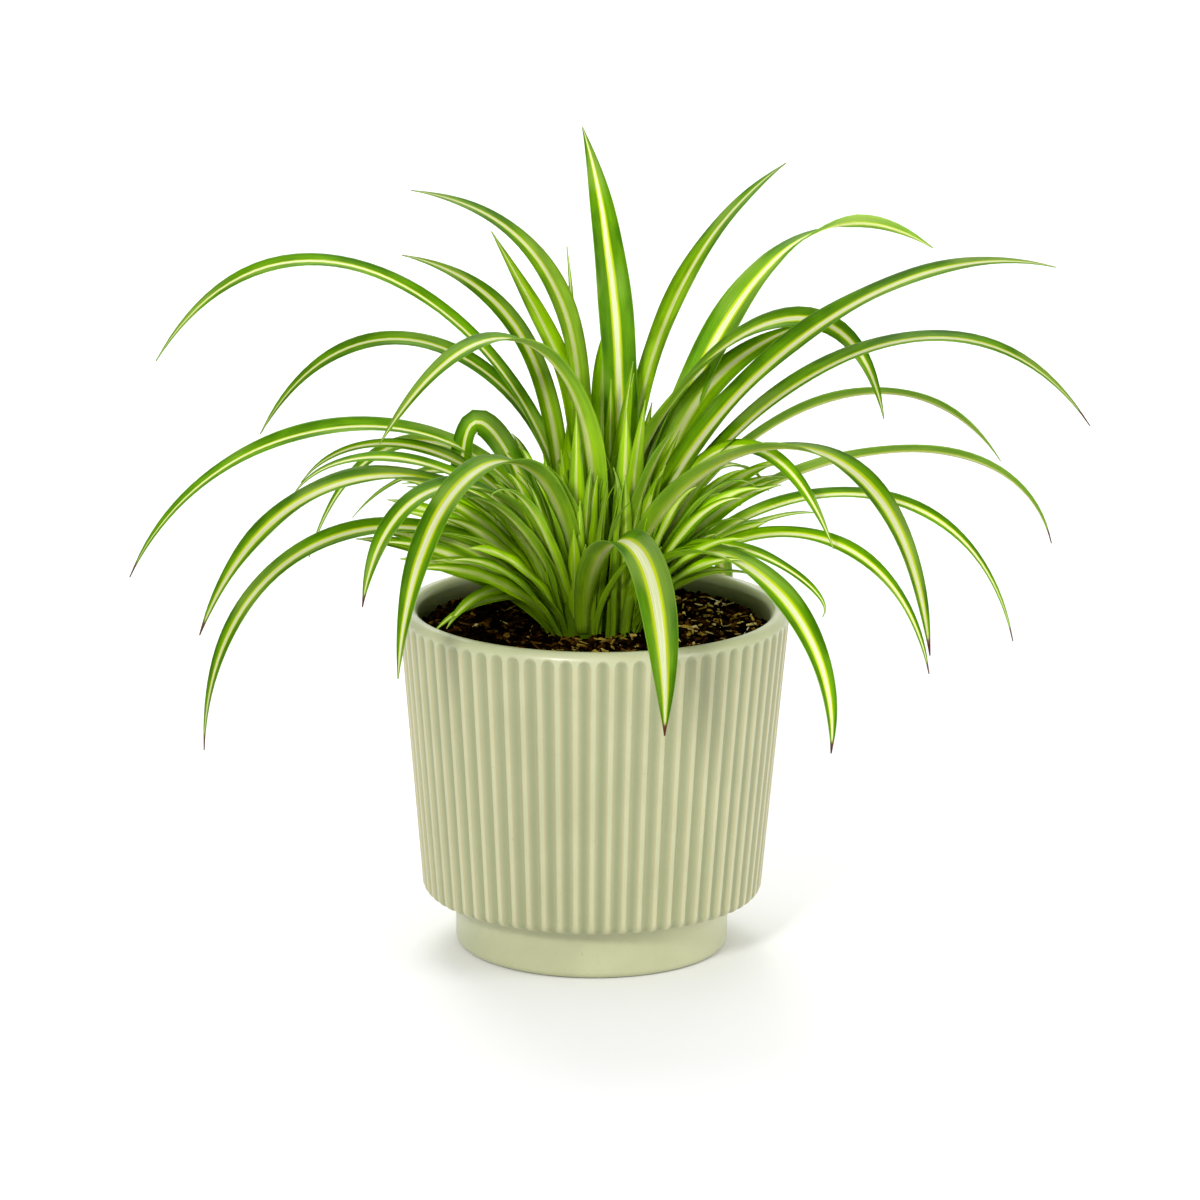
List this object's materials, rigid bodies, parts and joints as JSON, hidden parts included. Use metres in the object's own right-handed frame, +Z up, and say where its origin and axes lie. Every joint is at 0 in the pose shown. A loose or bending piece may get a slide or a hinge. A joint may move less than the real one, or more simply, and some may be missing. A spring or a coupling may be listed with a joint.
{
  "type": "potted spider plant",
  "caption": "House plant with long arching striped leaves in crowded tufts, growing from dark potting mix in a tapered, vertically fluted ceramic pot on a narrower plain foot.",
  "frame": {"origin": "centre of the bottom of the pot's foot, in the middle of the ring that it stands on", "axes": "+Z up along the pot's axis; +X to the right of the picture; -Y towards the picture's camera"},
  "size_m": [0.3043, 0.1737, 0.2578],
  "materials": {
    "glazed_ceramic": "sage green satin glaze",
    "potting_mix": "dark crumbly potting mix with bark chips",
    "leaf": "living leaf, satin, green margins and a cream middle stripe"
  },
  "bodies": {
    "root": {"pot": "glazed_ceramic", "potting_mix": "potting_mix", "rosette_left": "leaf", "rosette_front_left": "leaf", "rosette_front_right": "leaf", "rosette_right": "leaf", "rosette_back": "leaf"}
  },
  "joints": []
}
